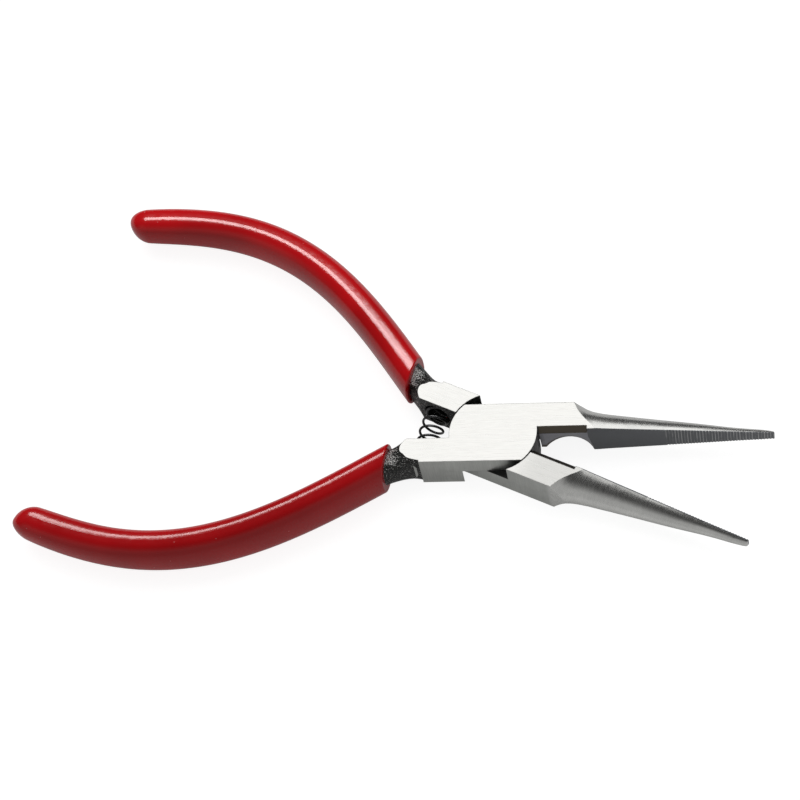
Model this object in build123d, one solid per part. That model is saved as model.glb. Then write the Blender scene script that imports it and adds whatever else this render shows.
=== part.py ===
from build123d import *

import math
import os

# Long-nose jewellery pliers with a lap joint, a wire cutter in the throat and dipped grips.
# Millimetres. The origin is on the pivot axis, in the plane of the head's back ground face.
# +X runs to the jaw tips, +Y to the upper jaw and +Z out of the front face.
# The rest position is open, as the return spring leaves the pliers.
# Each lever is drawn closed, with its jaw above the mating plane Y = 0 and its handle below it.
# It is then swung open about the pivot. The back lever is that drawing mirrored in Y, with its
# round lap plate in the back half of the head.

# Head
THICKNESS = 8.2
MID = THICKNESS / 2
HALF_WIDTH = 6.5
HALF_OPEN = 12.5
PLATE_RADIUS = 8.8
SHOULDER_RADIUS = 9.02
LAP_GAP = 0.04
HANDLE_FACE = 1.1

# Cutter in the throat
BLADE_END = 18.6
BLADE_EDGE_GAP = 0.03
BLADE_EDGE_Z = THICKNESS - 1.05
BEVEL_DEPTH = 1.1
LAND = 0.2
SCOOP_START = 9.9
SCOOP_MIDDLE = 14.4
SCOOP_END = 19.5
SCOOP_DEPTH = 3.4

# Jaws: tapers are in millimetres per millimetre, and each flare shrinks to 1/e over its reach
NOSE_START = 14.0
TIP_X = 55.2
TIP_HALF_THICKNESS = 0.95
TIP_HEIGHT = 0.98
THICKNESS_TAPER = 0.0877
HEIGHT_TAPER = 0.134
FLARE_X = 16.0
THICKNESS_FLARE = 1.41
THICKNESS_FLARE_REACH = 1.35
HEIGHT_FLARE = 2.97
HEIGHT_FLARE_REACH = 1.64
JAW_STATIONS = (14, 15, 16, 17, 18, 19.5, 21.5, 24, 28, 34, 42, 50)
JAW_GAP_BASE = 0.3
JAW_GAP_TIP = 0.02
TIP_ROUNDING = 0.25
TIP_STEPS = (30, 60, 90)

# Serrations on the outer part of the jaws' flat faces
SERRATION_START = 34.0
SERRATION_PITCH = 0.6
SERRATION_DEPTH = 0.12

# Neck between head and grip: each section's centre x and y, heading in degrees below -X,
# half width, half thickness, rise above mid-thickness and power, which is squarer when higher
NECK = (
    (-12.2, -3.6, 38, 4.6, 7.0, 0.0, 5),
    (-15.2, -3.8, 38, 3.6, 5.3, 0.1, 5),
    (-17.4, -4.25, 38, 2.9, 4.05, 0.2, 4),
    (-19.4, -5.0, 35, 2.8, 3.55, 0.45, 3),
)
BLOCK_END = -14.6
FLAT_END = -15.8
GROUND_END = -19.5

# Handles: the centre line's drop is a polynomial in the share of its length
HANDLE_START = -21.5
HANDLE_LENGTH = 75.0
DROP = (6.04, 45.7, 4.94, -71.99, 30.36)
HANDLE_RISE = 0.9
HANDLE_STATIONS = (-24, -32, -42, -52, -62, -72, -82)
TANG_END_X = -91.0

# Grips, dipped over the handles; they and the tangs share one plump oval section
MOUTH_X = -21.1
MOUTH_TILT = 8
SLEEVE_START = -16.0
GRIP_END_X = -96.2
SECTION_POWER = 2.4
SECTION_POINTS = 20
GRIP_HALF_WIDTH = 3.6
GRIP_HALF_THICKNESS = 5.0
GRIP_THICKNESS_TAPER = 1.7
SIDE_WALL = 0.85
FACE_WALL = 1.3
END_DRAW_START = -85.0
END_DRAW = 0.9
END_LEAN = 0.9
GRIP_CAP = 3.8
CAP_STEPS = (0, 15, 30, 45, 60, 75, 86)
LIP_ROUNDING = 0.35

# Rivet
RIVET_RADIUS = 2.3
RIVET_HEAD_RADIUS = 3.4
RIVET_CLEARANCE = 0.03

# Return spring and its pockets
POCKET_X = -13.7
POCKET_RADIUS = 2.85
POCKET_DEPTH = 2.8
COIL_RADIUS = 2.35
WIRE_RADIUS = 0.25
ACTIVE_TURNS = 5.5
END_TURN_PITCH = 0.54
END_CLEARANCE = 0.02
POINTS_PER_TURN = 16

# How far cutters run past what they cut: a little, and past the whole part
PAST = 1.0
REACH = 120.0


def slab(low, high):
    """A box from its lowest to its highest corner."""
    size = [high[i] - low[i] for i in range(3)]
    centre = [(high[i] + low[i]) / 2 for i in range(3)]
    return Pos(*centre) * Box(*size)


def round_bar(radius, z_low, z_high):
    """A cylinder about the pivot axis."""
    return Pos(0, 0, (z_low + z_high) / 2) * Cylinder(radius, z_high - z_low)


# ---- jaws

def half_thickness(x):
    """Half of a jaw's thickness in Z: a straight taper, flared where the jaw leaves the head."""
    flare = THICKNESS_FLARE * math.exp((FLARE_X - x) / THICKNESS_FLARE_REACH)
    return TIP_HALF_THICKNESS + THICKNESS_TAPER * (TIP_X - x) + flare


def height(x):
    """A jaw's height above its flat face, tapered and flared in the same way."""
    flare = HEIGHT_FLARE * math.exp((FLARE_X - x) / HEIGHT_FLARE_REACH)
    return TIP_HEIGHT + HEIGHT_TAPER * (TIP_X - x) + flare


def jaw_section(x, inset=0):
    """Half an ellipse standing on the mating plane, at one place along the jaw."""
    rim = half_thickness(x) - inset
    plane = Plane(origin=(x, 0, MID), x_dir=(0, 0, 1), z_dir=(-1, 0, 0))
    arc = EllipticalCenterArc((0, 0), rim, height(x) - inset, start_angle=0, arc_size=180)
    base = Line((-rim, 0), (rim, 0))
    return plane * make_face([arc, base])


def jaw_gap(x):
    """Distance of the flat jaw face from the mating plane when the tips meet."""
    share = (TIP_X - x) / (TIP_X - BLADE_END)
    return JAW_GAP_TIP + (JAW_GAP_BASE - JAW_GAP_TIP) * share


def serration_cutter():
    """A bar under the flat jaw face whose top is the row of cross serrations."""
    count = int((TIP_X - SERRATION_START) / SERRATION_PITCH)
    points = [(SERRATION_START, -PAST)]
    for tooth in range(count):
        x = SERRATION_START + tooth * SERRATION_PITCH
        root = x + SERRATION_PITCH / 2
        points.append((x, jaw_gap(x)))
        points.append((root, jaw_gap(root) + SERRATION_DEPTH))
    end = SERRATION_START + count * SERRATION_PITCH
    points.append((end, jaw_gap(end)))
    points.append((end, -PAST))
    return extrude(make_face(Polyline(*points, close=True)), THICKNESS)


def jaw():
    """The tapering nose: flared half-round sections trimmed to the head's flats."""
    shoulder = TIP_X - TIP_ROUNDING
    form = loft([jaw_section(x) for x in (*JAW_STATIONS, shoulder)], ruled=False)
    blank = slab((NOSE_START, 0, 0), (TIP_X + PAST, HALF_WIDTH, THICKNESS))
    cap = [jaw_section(shoulder)]
    for degrees in TIP_STEPS:
        angle = math.radians(degrees)
        x = shoulder + TIP_ROUNDING * math.sin(angle)
        cap.append(jaw_section(x, TIP_ROUNDING * (1 - math.cos(angle))))
    return (form & blank) + loft(cap, ruled=True)


def gap_cutter():
    """Everything below the flat jaw face, which rises from the tip to the blade's end."""
    outline = Polyline(
        (BLADE_END, -PAST),
        (BLADE_END, jaw_gap(BLADE_END)),
        (TIP_X + PAST, jaw_gap(TIP_X + PAST)),
        (TIP_X + PAST, -PAST),
        close=True,
    )
    return extrude(make_face(outline), THICKNESS)


# ---- cutter

def bevel_cutter():
    """The wedge in front of the cutting edge."""
    outline = Polyline(
        (BEVEL_DEPTH, THICKNESS),
        (BLADE_EDGE_GAP, BLADE_EDGE_Z),
        (-PAST, BLADE_EDGE_Z),
        (-PAST, THICKNESS + PAST),
        (BEVEL_DEPTH, THICKNESS + PAST),
        close=True,
    )
    side = Plane(origin=(0, 0, 0), x_dir=(0, 1, 0), z_dir=(1, 0, 0))
    wedge = extrude(side * make_face(outline), BLADE_END)
    return wedge - round_bar(PLATE_RADIUS, 0, THICKNESS + 2 * PAST)


def scoop_section(z, foot, crest, end):
    """A flat foot beside the plate and an arch that starts from it, at one depth."""
    arch = ThreePointArc((SCOOP_START, foot), (SCOOP_MIDDLE, crest), (end, JAW_GAP_BASE))
    rest = Polyline((end, JAW_GAP_BASE), (end, -PAST), (0, -PAST), (0, foot), (SCOOP_START, foot))
    return Pos(0, 0, z) * make_face([arch, rest])


def scoop_cutter():
    """The arched recess behind the cutting edge: deep at the back face, gone at the edge."""
    front = scoop_section(BLADE_EDGE_Z - LAND, BLADE_EDGE_GAP, JAW_GAP_BASE, BLADE_END)
    back = scoop_section(0, BEVEL_DEPTH, SCOOP_DEPTH, SCOOP_END)
    return loft([front, back]) - round_bar(PLATE_RADIUS, -PAST, THICKNESS + PAST)


# ---- handles

def handle_y(x):
    """The handle's centre line, as a height above the mating plane: negative all along."""
    u = (HANDLE_START - x) / HANDLE_LENGTH
    return -sum(c * u**power for power, c in enumerate(DROP))


def handle_heading(x):
    """The centre line's direction, in degrees below -X."""
    u = (HANDLE_START - x) / HANDLE_LENGTH
    drop = sum(power * c * u ** (power - 1) for power, c in enumerate(DROP) if power)
    return math.degrees(math.atan(drop / HANDLE_LENGTH))


def rounded_section(x, y, heading, half_width, half_height, rise, power, shift=0):
    """A superellipse square to its heading, shifted towards the outer side."""
    turn = math.radians(heading)
    plane = Plane(
        origin=(x, y, MID + rise),
        x_dir=(0, 0, 1),
        z_dir=(-math.cos(turn), -math.sin(turn), 0),
    )
    points = []
    for i in range(SECTION_POINTS):
        angle = 2 * math.pi * i / SECTION_POINTS
        c, s = math.cos(angle), math.sin(angle)
        u = math.copysign(abs(c) ** (2 / power), c) * half_height
        v = math.copysign(abs(s) ** (2 / power), s) * half_width
        points.append((u, v - shift))
    return plane * make_face(Spline(*points, periodic=True))


def grip_size(x):
    """The grip's half width, half thickness and outward shift at one place along the handle."""
    u = max(0, (HANDLE_START - x) / HANDLE_LENGTH)
    share = max(0, (END_DRAW_START - x) / (END_DRAW_START - GRIP_END_X))
    draw = END_DRAW / 2 * share**2
    return GRIP_HALF_WIDTH - draw, GRIP_HALF_THICKNESS - GRIP_THICKNESS_TAPER * u**2, draw


def handle_section(x, half_width, half_height, shift):
    """A plump oval across the handle's centre line."""
    place = (x, handle_y(x), handle_heading(x))
    return rounded_section(*place, half_width, half_height, HANDLE_RISE, SECTION_POWER, shift)


def grip_section(x, scale=1):
    """The grip's outside at one place, shrunk and leaning outwards inside the round end."""
    width, thick, shift = grip_size(x)
    return handle_section(x, width * scale, thick * scale, shift + END_LEAN * (1 - scale))


def tang_section(x):
    """The forged handle inside the grip, smaller by the grip's walls."""
    width, thick, shift = grip_size(x)
    return handle_section(x, width - SIDE_WALL, thick - FACE_WALL, shift)


def handle_bar():
    """Neck and tang as one forged bar, trimmed where the head's flats are ground."""
    neck = [rounded_section(*section) for section in NECK]
    neck += [tang_section(x) for x in (HANDLE_START, HANDLE_STATIONS[0])]
    tang = [tang_section(x) for x in (*HANDLE_STATIONS, TANG_END_X)]
    bar = loft(neck, ruled=False) + loft(tang, ruled=False)
    bar -= slab((GROUND_END, -REACH, THICKNESS), (0, REACH, REACH))
    bar -= slab((GROUND_END, -REACH, -REACH), (0, REACH, 0))
    bar -= slab((GROUND_END, -HANDLE_FACE, -REACH), (0, REACH, REACH))
    return bar - slab((FLAT_END, -REACH, -REACH), (0, -HALF_WIDTH, REACH))


def grip_body():
    """The dipped sleeve's outside, closed by a round end."""
    start = GRIP_END_X + GRIP_CAP
    sleeve = loft([grip_section(x) for x in (SLEEVE_START, *HANDLE_STATIONS, start)], ruled=False)
    dome = []
    for degrees in CAP_STEPS:
        angle = math.radians(degrees)
        dome.append(grip_section(start - GRIP_CAP * math.sin(angle), math.cos(angle)))
    before_mouth = slab((0, -REACH, -REACH), (REACH, REACH, REACH))
    body = sleeve + loft(dome, ruled=False)
    body -= Pos(MOUTH_X, handle_y(MOUTH_X), 0) * Rot(0, 0, -MOUTH_TILT) * before_mouth
    mouth = body.faces().sort_by(Axis.X)[-1]
    return fillet(mouth.edges(), LIP_ROUNDING)


# ---- levers

def lap_layer(is_plate, z_low, z_high):
    """One half of the head's thickness, with the round lap plate or with the shoulders round it."""
    jaw_block = slab((0, BLADE_EDGE_GAP, z_low), (NOSE_START, HALF_WIDTH, z_high))
    handle_block = slab((BLOCK_END, -HALF_WIDTH, z_low), (0, -HANDLE_FACE, z_high))
    layer = jaw_block + handle_block
    if not is_plate:
        return layer - round_bar(SHOULDER_RADIUS, z_low, z_high)
    strip = slab((-PLATE_RADIUS, -HALF_WIDTH, z_low), (PLATE_RADIUS, HALF_WIDTH, z_high))
    return layer + (round_bar(PLATE_RADIUS, z_low, z_high) & strip)


def rivet_shape(clearance):
    """Shank and two countersunk heads, flush with both faces and grown by a clearance."""
    sink = RIVET_HEAD_RADIUS - RIVET_RADIUS
    outline = Polyline(
        (0, 0),
        (RIVET_HEAD_RADIUS + clearance, 0),
        (RIVET_RADIUS + clearance, sink),
        (RIVET_RADIUS + clearance, THICKNESS - sink),
        (RIVET_HEAD_RADIUS + clearance, THICKNESS),
        (0, THICKNESS),
        close=True,
    )
    return revolve(Plane.XZ * make_face(outline), Axis.Z)


def lever(is_front):
    """One forged half, closed, with its jaw above the mating plane."""
    lap = LAP_GAP / 2
    head = lap_layer(is_front, MID + lap, THICKNESS) + lap_layer(not is_front, 0, MID - lap)
    nose = jaw() - round_bar(SHOULDER_RADIUS, 0, THICKNESS)
    body = head + nose
    body = body - gap_cutter() - serration_cutter() - bevel_cutter() - scoop_cutter()
    body = body + handle_bar()
    pocket = Pos(POCKET_X, -HANDLE_FACE - POCKET_DEPTH / 2, MID) * Rot(90, 0, 0)
    body = body - pocket * Cylinder(POCKET_RADIUS, POCKET_DEPTH)
    return body - rivet_shape(0 if is_front else RIVET_CLEARANCE)


def swing(shape, is_front):
    """Turns a closed drawing into its place at rest."""
    if is_front:
        return Rot(0, 0, HALF_OPEN) * shape
    return Rot(0, 0, -HALF_OPEN) * mirror(shape, about=Plane.XZ)


# ---- spring

def spring_axis():
    """Centre and radius of the arc that meets both tilted pockets squarely."""
    tilt = math.radians(HALF_OPEN)
    floor_y = HANDLE_FACE + POCKET_DEPTH
    end_x = POCKET_X * math.cos(tilt) + floor_y * math.sin(tilt)
    end_y = POCKET_X * math.sin(tilt) - floor_y * math.cos(tilt)
    radius = -end_y / math.sin(tilt)
    return end_x + radius * math.cos(tilt), radius


def spring():
    """A coil spring bent round that arc, with a closed turn at each end."""
    bend_x, bend_radius = spring_axis()
    length = 2 * bend_radius * math.radians(HALF_OPEN)
    first = WIRE_RADIUS + END_CLEARANCE
    active = length - 2 * first - 2 * END_TURN_PITCH
    turns = ACTIVE_TURNS + 2
    points = []
    count = int(turns * POINTS_PER_TURN)
    for i in range(count + 1):
        turn = turns * i / count
        rise = END_TURN_PITCH * min(turn, 1)
        rise += active * min(max(turn - 1, 0), ACTIVE_TURNS) / ACTIVE_TURNS
        rise += END_TURN_PITCH * max(turn - 1 - ACTIVE_TURNS, 0)
        along = (first + rise - length / 2) / bend_radius
        angle = 2 * math.pi * turn
        radial = bend_radius + COIL_RADIUS * math.cos(angle)
        x = bend_x - radial * math.cos(along)
        points.append((x, radial * math.sin(along), MID + COIL_RADIUS * math.sin(angle)))
    path = Spline(*points)
    return sweep(Plane(path @ 0, z_dir=path % 0) * Circle(WIRE_RADIUS), path=path)


def main():
    front = lever(True)
    back = lever(False)
    grip = grip_body() - handle_bar()
    parts = {
        "front_lever": swing(front, True),
        "back_lever": swing(back, False),
        "front_grip": swing(grip, True),
        "back_grip": swing(grip, False),
        "pivot_rivet": rivet_shape(0),
        "return_spring": spring(),
    }
    os.makedirs("parts", exist_ok=True)
    for name, shape in parts.items():
        export_step(shape, f"parts/{name}.step")


main()
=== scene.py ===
import math
from types import SimpleNamespace

import bmesh
import bpy
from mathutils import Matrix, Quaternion, Vector


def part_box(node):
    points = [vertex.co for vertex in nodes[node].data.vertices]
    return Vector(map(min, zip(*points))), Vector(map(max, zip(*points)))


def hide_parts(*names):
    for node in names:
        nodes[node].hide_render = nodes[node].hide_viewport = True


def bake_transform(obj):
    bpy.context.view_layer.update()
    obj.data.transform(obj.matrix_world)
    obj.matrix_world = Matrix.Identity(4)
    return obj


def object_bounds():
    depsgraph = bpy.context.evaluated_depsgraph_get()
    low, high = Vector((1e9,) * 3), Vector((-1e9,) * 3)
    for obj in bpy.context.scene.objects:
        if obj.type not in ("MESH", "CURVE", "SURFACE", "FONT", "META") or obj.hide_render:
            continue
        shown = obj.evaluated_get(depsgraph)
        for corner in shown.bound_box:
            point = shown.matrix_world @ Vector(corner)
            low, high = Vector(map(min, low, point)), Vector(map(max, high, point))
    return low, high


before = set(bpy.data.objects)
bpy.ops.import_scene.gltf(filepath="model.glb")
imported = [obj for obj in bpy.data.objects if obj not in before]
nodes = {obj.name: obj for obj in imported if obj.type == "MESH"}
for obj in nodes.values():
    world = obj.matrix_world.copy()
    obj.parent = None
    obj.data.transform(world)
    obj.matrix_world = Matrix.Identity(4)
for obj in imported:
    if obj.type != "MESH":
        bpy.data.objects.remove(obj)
cad_low, cad_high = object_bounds()

MM = 0.001
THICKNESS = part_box("pivot_rivet")[1].z
MID = THICKNESS / 2
HALF_OPEN = math.radians(12.5)

# Head and neck, in each lever's own closed position: jaw above the mating plane, handle below
HALF_WIDTH = 6.5 * MM
HANDLE_FACE = 1.1 * MM
FORGED_START = -14.3 * MM
FLAT_END = -15.8 * MM
BEVEL_RIM = 1.1 * MM
SERRATION_START = 34 * MM
SERRATION_PITCH = 0.6 * MM
PLATE_RADIUS = 8.8 * MM
RIVET_REACH = 3.6 * MM
JAW_START = 18.6 * MM
JAW_BLEND_START = JAW_START - 3.2 * MM
BITE_TOP = 0.42 * MM
THROAT_END = 19.6 * MM
THROAT_TOP = 3.45 * MM
FACE_DEPTH = 4 * MM
# Start of the painted glints on the neck's forge scale, next to the sleeve
GLINT_PATCH_START = -19.2 * MM
SKIN = 0.012 * MM

# Height of the marks in the steel, and how round its edges look
WALL_RELIEF = 0.006 * MM
JAW_RELIEF = 0.0008 * MM
SCALE_RELIEF = 0.3 * MM
EDGE_ROUND = 0.18 * MM

# Return spring between its two pockets; the coil's radius is 0.08 mm under the CAD's, so that it
# cuts less into the levers when the handles close
POCKET_X = -13.7 * MM
POCKET_DEPTH = 2.8 * MM
COIL_RADIUS = 2.27 * MM
WIRE_RADIUS = 0.26 * MM
ACTIVE_TURNS = 5.5
END_PITCH = 0.54 * MM
COIL_PHASE = math.radians(180)
RINGS_PER_TURN = 48
WIRE_SIDES = 12
TIP_CLEARANCE = 0.02 * MM

# ---- camera, from the side the pliers are seen from

VIEW_AZIMUTH = math.radians(29.25)
VIEW_ELEVATION = math.radians(57.7)
VIEW_ROLL = math.radians(-15.65)
VIEW_DISTANCE = 539.6 * MM
VIEW_TARGET = Vector((-21.6, 5.86, 4.1)) * MM
LENS = 119.9


def make_camera():
    back = Vector((
        math.sin(VIEW_AZIMUTH) * math.cos(VIEW_ELEVATION),
        -math.cos(VIEW_AZIMUTH) * math.cos(VIEW_ELEVATION),
        math.sin(VIEW_ELEVATION),
    ))
    data = bpy.data.cameras.new("camera")
    data.lens = LENS
    data.sensor_width = 36
    data.clip_start = 0.01
    data.clip_end = 20
    camera = bpy.data.objects.new("camera", data)
    camera.location = VIEW_TARGET + back * VIEW_DISTANCE
    camera.rotation_mode = "QUATERNION"
    camera.rotation_quaternion = (-back).to_track_quat("-Z", "Y") @ Quaternion((0, 0, 1), VIEW_ROLL)
    bpy.context.collection.objects.link(camera)
    bpy.context.scene.camera = camera


# ---- stage, in metres

FLOOR_REACH = 3.0
FLOOR_DROP = 0.02 * MM
LAMP_DISTANCE = 1.1

# ---- light levels; each box's is the brightness that a mirror would show of it

WORLD_FILL = 0.35
ROOM_IN_MIRROR = 0.04
WALL_IN_MIRROR = 0.5
FLOOR_GLOW = 0.2
STEEL_BOX = 1.45
UPPER_GRIP_BOX = 22.0
LOWER_GRIP_BOX = 14.0

# ---- node helpers


class Shader:
    """A material's node tree, with one short call for each kind of node."""

    def __init__(self, name):
        self.material = bpy.data.materials.new(name)
        self.material.use_nodes = True
        self.tree = self.material.node_tree
        self.surface = self.tree.nodes["Principled BSDF"]

    def node(self, kind, **settings):
        made = self.tree.nodes.new("ShaderNode" + kind)
        for key, value in settings.items():
            setattr(made, key, value)
        return made

    def put(self, socket, value):
        """Links a socket, or sets a plain value."""
        if isinstance(value, bpy.types.NodeSocket):
            self.tree.links.new(value, socket)
        else:
            socket.default_value = value

    def math(self, operation, a, b=0.0, clamp=False):
        made = self.node("Math", operation=operation, use_clamp=clamp)
        self.put(made.inputs[0], a)
        self.put(made.inputs[1], b)
        return made.outputs[0]

    def ramp(self, value, low, high, out_low=0.0, out_high=1.0):
        """Maps low..high to out_low..out_high, smoothly and held at both ends."""
        made = self.node("MapRange", interpolation_type="SMOOTHSTEP")
        for socket, number in zip(made.inputs, (value, low, high, out_low, out_high)):
            self.put(socket, number)
        return made.outputs[0]

    def above(self, value, edge, softness=0.0001 * MM):
        return self.ramp(value, edge - softness, edge + softness)

    def below(self, value, edge, softness=0.0001 * MM):
        return self.ramp(value, edge - softness, edge + softness, 1.0, 0.0)

    def both(self, *masks):
        out = masks[0]
        for mask in masks[1:]:
            out = self.math("MULTIPLY", out, mask)
        return out

    def either(self, *masks):
        out = masks[0]
        for mask in masks[1:]:
            out = self.math("MAXIMUM", out, mask)
        return out

    def mix(self, mask, a, b):
        """Blends two numbers."""
        made = self.node("Mix", data_type="FLOAT")
        self.put(made.inputs[0], mask)
        self.put(made.inputs[2], a)
        self.put(made.inputs[3], b)
        return made.outputs[0]

    def mix_colour(self, mask, a, b, blend="MIX"):
        made = self.node("Mix", data_type="RGBA", blend_type=blend)
        self.put(made.inputs[0], mask)
        for socket, value in ((made.inputs[6], a), (made.inputs[7], b)):
            self.put(socket, value if isinstance(value, bpy.types.NodeSocket) else (*value, 1))
        return made.outputs[2]

    def tinted(self, colour, tone):
        """A colour darkened by a tone from nought to one."""
        return self.mix_colour(1.0, colour, self.grey(tone), "MULTIPLY")

    def grey(self, value):
        made = self.node("CombineColor")
        for socket in made.inputs:
            self.put(socket, value)
        return made.outputs[0]

    def noise(self, place, scale, detail=3.0, roughness=0.5):
        """Noise whose grain is 1 / scale metres along each axis."""
        stretch = self.node("VectorMath", operation="MULTIPLY")
        self.put(stretch.inputs[0], place)
        self.put(stretch.inputs[1], scale)
        made = self.node("TexNoise", noise_dimensions="3D")
        self.put(made.inputs["Vector"], stretch.outputs[0])
        self.put(made.inputs["Scale"], 1.0)
        self.put(made.inputs["Detail"], detail)
        self.put(made.inputs["Roughness"], roughness)
        return made.outputs[0]

    def specks(self, place, grain, size):
        """One where a cell's centre is near, for pits and specks."""
        stretch = self.node("VectorMath", operation="SCALE")
        self.put(stretch.inputs[0], place)
        self.put(stretch.inputs["Scale"], 1.0 / grain)
        made = self.node("TexVoronoi")
        self.put(made.inputs["Vector"], stretch.outputs[0])
        self.put(made.inputs["Scale"], 1.0)
        return self.ramp(made.outputs["Distance"], size * 0.6, size, 1.0, 0.0)

    def bump(self, height, distance, strength=1.0, normal=None):
        made = self.node("Bump")
        self.put(made.inputs["Height"], height)
        self.put(made.inputs["Distance"], distance)
        self.put(made.inputs["Strength"], strength)
        if normal:
            self.put(made.inputs["Normal"], normal)
        return made.outputs[0]

    def bevel(self, radius):
        made = self.node("Bevel", samples=6)
        self.put(made.inputs["Radius"], radius)
        return made.outputs[0]

    def finish(self, **sockets):
        for name, value in sockets.items():
            socket = self.surface.inputs[name.replace("_", " ")]
            if isinstance(value, tuple):
                value = (*value, 1)
            self.put(socket, value)
        return self.material

    def closed_place(self, side):
        """The place in a lever's closed drawing: turned back, and for the back lever flipped in Y."""
        turn = self.node("VectorRotate", rotation_type="Z_AXIS")
        self.put(turn.inputs["Vector"], self.node("TexCoord").outputs["Object"])
        self.put(turn.inputs["Angle"], -side * HALF_OPEN)
        flip = self.node("VectorMath", operation="MULTIPLY")
        self.put(flip.inputs[0], turn.outputs[0])
        self.put(flip.inputs[1], (1, side, 1))
        split = self.node("SeparateXYZ")
        self.put(split.inputs[0], flip.outputs[0])
        return flip.outputs[0], split.outputs[0], split.outputs[1], split.outputs[2]

    def level(self):
        """How squarely the surface faces up or down: one for level, nothing for upright."""
        split = self.node("SeparateXYZ")
        self.put(split.inputs[0], self.node("TexCoord").outputs["Normal"])
        return self.math("ABSOLUTE", split.outputs[2])


# ---- materials


def steel_masks(s, x, y, z, radius, level):
    """Where each kind of surface lies on a lever: one on it, nothing off it."""
    front = s.both(s.above(z, THICKNESS - SKIN), s.below(z, THICKNESS + SKIN))
    back = s.both(s.above(z, -SKIN), s.below(z, SKIN))
    ground = s.both(s.either(front, back), s.above(level, 0.999, 0.0005))
    flat = s.both(
        s.above(y, -HALF_WIDTH - SKIN), s.below(y, -HALF_WIDTH + SKIN), s.above(x, FLAT_END),
    )
    walls = s.math("SUBTRACT", 1.0, ground)
    neck = s.both(s.below(x, FORGED_START, 0.5 * MM), walls, s.math("SUBTRACT", 1.0, flat))
    handle_face = s.both(s.below(x, -PLATE_RADIUS), s.above(y, -HANDLE_FACE - FACE_DEPTH), walls)
    outline = s.either(s.above(y, HALF_WIDTH - SKIN), flat)
    throat = s.both(
        s.above(radius, PLATE_RADIUS + 0.01 * MM), s.above(x, 0.0), s.below(x, THROAT_END),
        s.below(y, THROAT_TOP), s.below(level, 0.8, 0.02),
    )
    # Painted shade: the lap walls and lap face round the pivot, which lie in shade
    inner = s.both(
        s.below(radius, PLATE_RADIUS + 0.3 * MM), walls, s.math("SUBTRACT", 1.0, outline),
    )
    return SimpleNamespace(
        ground=ground,
        forged=s.either(neck, handle_face),
        jaw=s.above(x, JAW_BLEND_START, 0.6 * MM),
        bite=s.both(s.above(x, JAW_START), s.below(y, BITE_TOP), walls),
        throat=throat,
        inner=inner,
    )


def steel_grain(s, place):
    """Noise for each way the steel is worked, stretched along the marks."""
    return SimpleNamespace(
        along=s.noise(place, (130, 5200, 3000), 4),
        along_fine=s.noise(place, (420, 14000, 9000), 3),
        across=s.noise(place, (7000, 500, 260), 3),
        hoop=s.noise(place, (5200, 900, 900), 2),
        cloud=s.noise(place, (240, 240, 240), 3),
        scale=s.noise(place, (3000, 3000, 3000), 4, 0.6),
        scale_fine=s.noise(place, (4400, 4400, 4400), 2, 0.6),
    )


def ground_colour(s, side, x, grain):
    """Pale brushed steel; the back lever's face has painted shade, darker toward the jaw."""
    streak = s.ramp(grain.along, 0.3, 0.62, 0.84, 1.0)
    streak = s.math("MULTIPLY", streak, s.ramp(grain.along_fine, 0.3, 0.6, 0.93, 1.0))
    # Painted shade on the back lever's ground face, toward the jaw
    shade = s.ramp(x, 5 * MM, 12 * MM, 1.0, 1.0 if side > 0 else 0.8)
    return s.tinted((0.76, 0.755, 0.73), s.math("MULTIPLY", streak, shade))


def side_colour(s, jaw, grain):
    """Satin walls of the head, turning to the finer finish of the jaw."""
    cross = s.ramp(grain.across, 0.3, 0.7, 0.82, 1.0)
    wall = s.tinted((0.53, 0.54, 0.515), s.math("MULTIPLY", cross, s.ramp(grain.cloud, 0.3, 0.7, 0.9, 1.0)))
    hoop = s.ramp(grain.hoop, 0.3, 0.7, 0.92, 1.0)
    nose = s.tinted((0.66, 0.66, 0.64), s.math("MULTIPLY", hoop, s.ramp(grain.cloud, 0.3, 0.7, 0.92, 1.0)))
    return s.mix_colour(jaw, wall, nose)


def scale_colour(s, x, level, grain):
    """Black forge scale with pale worn specks, and more pale specks as painted glints where the neck faces
    up or down next to the sleeve.
    """
    black = s.mix_colour(
        s.ramp(grain.scale, 0.42, 0.7), (0.032, 0.033, 0.032), (0.085, 0.085, 0.082),
    )
    # Painted glints: extra pale specks where the neck faces up or down next to the sleeve; the rest are
    # wear
    glint_patch = s.both(s.below(x, GLINT_PATCH_START, 1.2 * MM), s.ramp(level, 0.7, 0.95))
    wear_and_glints = s.ramp(s.math("ADD", grain.scale_fine, s.math("MULTIPLY", glint_patch, 0.18)), 0.64, 0.68)
    return s.mix_colour(wear_and_glints, black, (0.85, 0.85, 0.83))


def bite_colour(s, place, x):
    """The dark gripping face, with a painted highlight on the crest of each of the CAD's serrations."""
    along = s.math("DIVIDE", s.math("SUBTRACT", x, SERRATION_START), SERRATION_PITCH)
    tooth = s.math("FRACT", along)
    # Painted highlight: the crest of each serration tooth is coloured pale
    crest_highlight = s.both(s.ramp(tooth, 0.10, 0.34, 1.0, 0.0), s.above(x, SERRATION_START))
    crest_highlight = s.both(crest_highlight, s.ramp(s.noise(place, (1500, 500, 160), 2), 0.4, 0.6, 0.1, 1.0))
    return s.mix_colour(crest_highlight, (0.155, 0.16, 0.168), (0.42, 0.42, 0.42))


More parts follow.
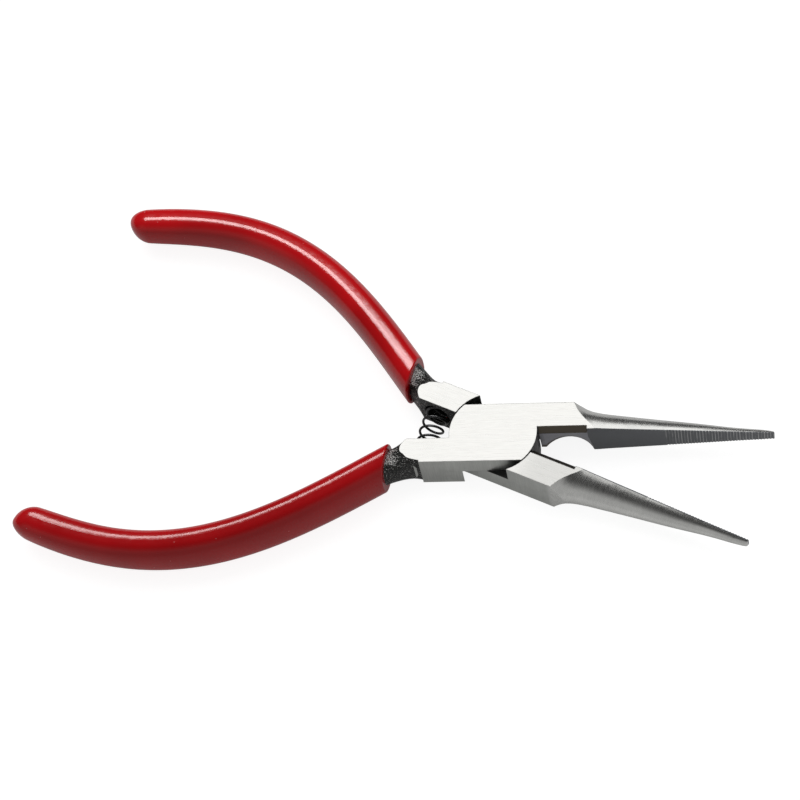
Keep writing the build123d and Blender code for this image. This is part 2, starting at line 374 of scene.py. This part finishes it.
def steel(side):
    """Ground and brushed steel on head and jaws, black forged scale on the neck."""
    s = Shader("steel_front" if side > 0 else "steel_back")
    place, x, y, z = s.closed_place(side)
    level = s.level()
    radius = s.math("SQRT", s.math("ADD", s.math("POWER", x, 2.0), s.math("POWER", y, 2.0)))
    mask = steel_masks(s, x, y, z, radius, level)
    grain = steel_grain(s, place)

    colour = s.mix_colour(mask.ground, side_colour(s, mask.jaw, grain), ground_colour(s, side, x, grain))
    rim = s.either(s.above(z, THICKNESS - BEVEL_RIM), s.below(z, BEVEL_RIM))
    throat = s.mix_colour(rim, (0.36, 0.36, 0.39), (0.11, 0.095, 0.075))
    colour = s.mix_colour(mask.throat, colour, throat)
    colour = s.mix_colour(mask.bite, colour, bite_colour(s, place, x))
    # Painted shade: near black on the lap walls and lap face round the pivot
    colour = s.mix_colour(mask.inner, colour, (0.06, 0.06, 0.06))
    colour = s.mix_colour(mask.forged, colour, scale_colour(s, x, level, grain))

    jaw_rough = s.ramp(grain.hoop, 0.3, 0.7, 0.25, 0.29)
    rough = s.mix(mask.jaw, s.ramp(grain.across, 0.3, 0.7, 0.30, 0.42), jaw_rough)
    rough = s.mix(mask.ground, rough, s.ramp(grain.along, 0.3, 0.7, 0.26, 0.38))
    rough = s.mix(mask.forged, rough, s.ramp(grain.scale, 0.4, 0.7, 0.5, 0.28))
    rough = s.mix(s.either(mask.throat, mask.bite), rough, 0.42)

    lines = s.mix(mask.ground, s.mix(mask.jaw, grain.across, grain.hoop), grain.along)
    pits = s.math("ADD", grain.scale, s.math("MULTIPLY", grain.scale_fine, 0.5))
    relief = s.mix(mask.forged, lines, pits)
    depth = s.mix(mask.forged, s.mix(mask.jaw, WALL_RELIEF, JAW_RELIEF), SCALE_RELIEF)
    edge = s.ramp(radius, RIVET_REACH, RIVET_REACH + 1 * MM, 0.0, EDGE_ROUND)
    normal = s.bump(relief, depth, 1.0, s.bevel(edge))
    return s.finish(Base_Color=colour, Metallic=1.0, Roughness=rough, Normal=normal)


def dipped_plastic():
    """Glossy red dipped grip: slightly uneven in colour, with a few raised specks."""
    s = Shader("dipped_red")
    place = s.node("TexCoord").outputs["Object"]
    swell = s.noise(place, (70, 70, 70), 1)
    skin = s.noise(place, (900, 900, 900), 3)
    specks = s.specks(place, 2.6 * MM, 0.05)
    colour = s.mix_colour(s.ramp(swell, 0.3, 0.7), (0.33, 0.0022, 0.004), (0.42, 0.003, 0.0055))
    colour = s.mix_colour(s.math("MULTIPLY", specks, 0.5), colour, (0.7, 0.25, 0.25))
    return s.finish(
        Base_Color=colour, Roughness=s.ramp(skin, 0.3, 0.7, 0.17, 0.2), IOR=1.42,
        Normal=s.bump(specks, 0.03 * MM), Specular_Tint=(1.0, 0.9, 0.9),
    )


def black_wire():
    """Oil-blackened music wire with fine drawing lines."""
    s = Shader("black_wire")
    place = s.node("TexCoord").outputs["Object"]
    grain = s.noise(place, (5000, 5000, 5000), 3)
    colour = s.mix_colour(s.ramp(grain, 0.4, 0.75), (0.02, 0.02, 0.022), (0.09, 0.09, 0.09))
    return s.finish(
        Base_Color=colour, Metallic=0.6, Roughness=s.ramp(grain, 0.3, 0.7, 0.16, 0.28),
        Normal=s.bump(grain, 0.008 * MM),
    )


def paper():
    """A pale floor, lit evenly from within so that only soft shadows show."""
    s = Shader("pale_floor")
    place = s.node("TexCoord").outputs["Object"]
    grain = s.noise(place, (900, 900, 900), 3)
    seen = s.node("LightPath").outputs["Is Camera Ray"]
    tone = s.mix(seen, 0.6, s.ramp(grain, 0.3, 0.7, 0.30, 0.32))
    return s.finish(
        Base_Color=s.grey(tone), Roughness=0.9, Specular_IOR_Level=0.0,
        Emission_Color=(1, 1, 1), Emission_Strength=s.mix(seen, FLOOR_GLOW, 0.88),
    )


# ---- spring


def spring_axis():
    """Centre x and radius of the arc that meets both tilted pockets squarely."""
    floor_y = HANDLE_FACE + POCKET_DEPTH
    end_x = POCKET_X * math.cos(HALF_OPEN) + floor_y * math.sin(HALF_OPEN)
    end_y = POCKET_X * math.sin(HALF_OPEN) - floor_y * math.cos(HALF_OPEN)
    radius = -end_y / math.sin(HALF_OPEN)
    return end_x + radius * math.cos(HALF_OPEN), radius


def spring_path():
    """Points along the wire: closed end turns and open active turns round the bent axis."""
    bend_x, bend_radius = spring_axis()
    length = 2 * bend_radius * HALF_OPEN
    first = WIRE_RADIUS + TIP_CLEARANCE
    active = length - 2 * first - 2 * END_PITCH
    turns = ACTIVE_TURNS + 2
    count = int(turns * RINGS_PER_TURN)
    points = []
    for i in range(count + 1):
        turn = turns * i / count
        rise = END_PITCH * min(turn, 1)
        rise += active * min(max(turn - 1, 0), ACTIVE_TURNS) / ACTIVE_TURNS
        rise += END_PITCH * max(turn - 1 - ACTIVE_TURNS, 0)
        along = (first + rise - length / 2) / bend_radius
        angle = 2 * math.pi * turn + COIL_PHASE
        radial = bend_radius + COIL_RADIUS * math.cos(angle)
        points.append(Vector((
            bend_x - radial * math.cos(along),
            radial * math.sin(along),
            MID + COIL_RADIUS * math.sin(angle),
        )))
    return points


def tube(name, points, radius, sides):
    """A closed tube of quads along a path, with flat tips."""
    mesh = bmesh.new()
    rings = []
    normal = Vector((0, 0, 1))
    last = len(points) - 1
    for i, point in enumerate(points):
        tangent = (points[min(i + 1, last)] - points[max(i - 1, 0)]).normalized()
        normal = (normal - tangent * normal.dot(tangent)).normalized()
        binormal = tangent.cross(normal)
        ring = []
        for k in range(sides):
            angle = 2 * math.pi * k / sides
            offset = normal * math.cos(angle) + binormal * math.sin(angle)
            ring.append(mesh.verts.new(point + offset * radius))
        rings.append(ring)
    for a, b in zip(rings, rings[1:]):
        for k in range(sides):
            n = (k + 1) % sides
            mesh.faces.new((a[k], a[n], b[n], b[k]))
    mesh.faces.new(list(reversed(rings[0])))
    mesh.faces.new(rings[-1])
    return to_object(name, mesh)


def to_object(name, mesh):
    bmesh.ops.recalc_face_normals(mesh, faces=mesh.faces)
    data = bpy.data.meshes.new(name)
    mesh.to_mesh(data)
    mesh.free()
    for face in data.polygons:
        face.use_smooth = True
    made = bpy.data.objects.new(name, data)
    bpy.context.collection.objects.link(made)
    return made


def make_spring():
    """The return spring, a wire tube between the two pockets, in place of the CAD's spring, which is
    hidden.
    """
    wire = tube("spring_wire", spring_path(), WIRE_RADIUS, WIRE_SIDES)
    wire.data.materials.append(black_wire())
    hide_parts("return_spring")
    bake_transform(wire)
    return wire


# ---- stage and light


def dress(node, material):
    data = nodes[node].data
    data.materials.clear()
    data.materials.append(material)


def make_floor():
    mesh = bmesh.new()
    corners = ((-1, -1), (1, -1), (1, 1), (-1, 1))
    mesh.faces.new([mesh.verts.new((x * FLOOR_REACH, y * FLOOR_REACH, 0)) for x, y in corners])
    floor = to_object("floor", mesh)
    floor.location.z = cad_low[2] - FLOOR_DROP
    floor.data.materials.append(paper())
    return floor


def softbox(name, azimuth, elevation, width, height, radiance):
    """A rectangular light aimed at the view's target; radiance is what a mirror would show."""
    data = bpy.data.lights.new(name, "AREA")
    data.shape = "RECTANGLE"
    data.size = width
    data.size_y = height
    data.energy = radiance * math.pi * width * height
    lamp = bpy.data.objects.new(name, data)
    azimuth, elevation = math.radians(azimuth), math.radians(elevation)
    toward = Vector((
        math.sin(azimuth) * math.cos(elevation),
        -math.cos(azimuth) * math.cos(elevation),
        math.sin(elevation),
    ))
    lamp.location = VIEW_TARGET + toward * LAMP_DISTANCE
    lamp.rotation_mode = "QUATERNION"
    lamp.rotation_quaternion = toward.to_track_quat("Z", "Y")
    bpy.context.collection.objects.link(lamp)
    return lamp


def light_only(lamp, pieces):
    """Keeps a lamp's light to the named pieces."""
    group = bpy.data.collections.new(lamp.name + "_lights")
    for piece in pieces:
        group.objects.link(piece)
    lamp.light_linking.receiver_collection = group


def world_ramp(tree, value, low, high, out_low, out_high):
    """Maps low..high to out_low..out_high in a straight line."""
    made = tree.nodes.new("ShaderNodeMapRange")
    tree.links.new(value, made.inputs[0])
    for socket, number in zip(made.inputs[1:5], (low, high, out_low, out_high)):
        socket.default_value = number
    return made.outputs[0]


def room_in_mirror(tree):
    """What a mirror shows: one pale wall behind the camera in a dark room."""
    way = tree.nodes.new("ShaderNodeTexCoord").outputs["Generated"]
    split = tree.nodes.new("ShaderNodeSeparateXYZ")
    tree.links.new(way, split.inputs[0])
    facing = tree.nodes.new("ShaderNodeVectorMath")
    facing.operation = "DOT_PRODUCT"
    tree.links.new(way, facing.inputs[0])
    facing.inputs[1].default_value = (math.sin(VIEW_AZIMUTH), -math.cos(VIEW_AZIMUTH), 0)
    wall = tree.nodes.new("ShaderNodeMath")
    wall.operation = "MULTIPLY"
    tree.links.new(world_ramp(tree, split.outputs[2], 0.6, 0.92, 1, 0), wall.inputs[0])
    tree.links.new(world_ramp(tree, facing.outputs["Value"], -0.2, 0.2, 0, 1), wall.inputs[1])
    return world_ramp(tree, wall.outputs[0], 0, 1, ROOM_IN_MIRROR, WALL_IN_MIRROR)


def make_world():
    """An even fill for dull surfaces, and the room for shiny ones."""
    world = bpy.data.worlds.new("studio")
    world.use_nodes = True
    tree = world.node_tree
    mix = tree.nodes.new("ShaderNodeMix")
    mix.inputs[2].default_value = WORLD_FILL
    tree.links.new(room_in_mirror(tree), mix.inputs[3])
    tree.links.new(tree.nodes.new("ShaderNodeLightPath").outputs["Is Glossy Ray"], mix.inputs[0])
    background = tree.nodes["Background"]
    tree.links.new(mix.outputs[0], background.inputs[1])
    background.inputs[0].default_value = (1, 1, 1, 1)
    bpy.context.scene.world = world


make_camera()
front_steel = steel(1)
red = dipped_plastic()
dress("front_lever", front_steel)
dress("back_lever", steel(-1))
dress("pivot_rivet", front_steel)
dress("front_grip", red)
dress("back_grip", red)
wire = make_spring()
floor = make_floor()
make_world()
steel_box = softbox("steel_box", 205, 56, 1.5, 0.96, STEEL_BOX)
upper_box = softbox("upper_grip_box", 205, 55.5, 0.8, 0.22, UPPER_GRIP_BOX)
lower_box = softbox("lower_grip_box", 207, 47, 0.8, 0.28, LOWER_GRIP_BOX)
steel_nodes = [nodes[name] for name in ("front_lever", "back_lever", "pivot_rivet")]
light_only(steel_box, steel_nodes + [wire, floor])
light_only(upper_box, [nodes["back_grip"], wire])
light_only(lower_box, [nodes["front_grip"]])
bpy.context.scene.view_settings.view_transform = "Standard"
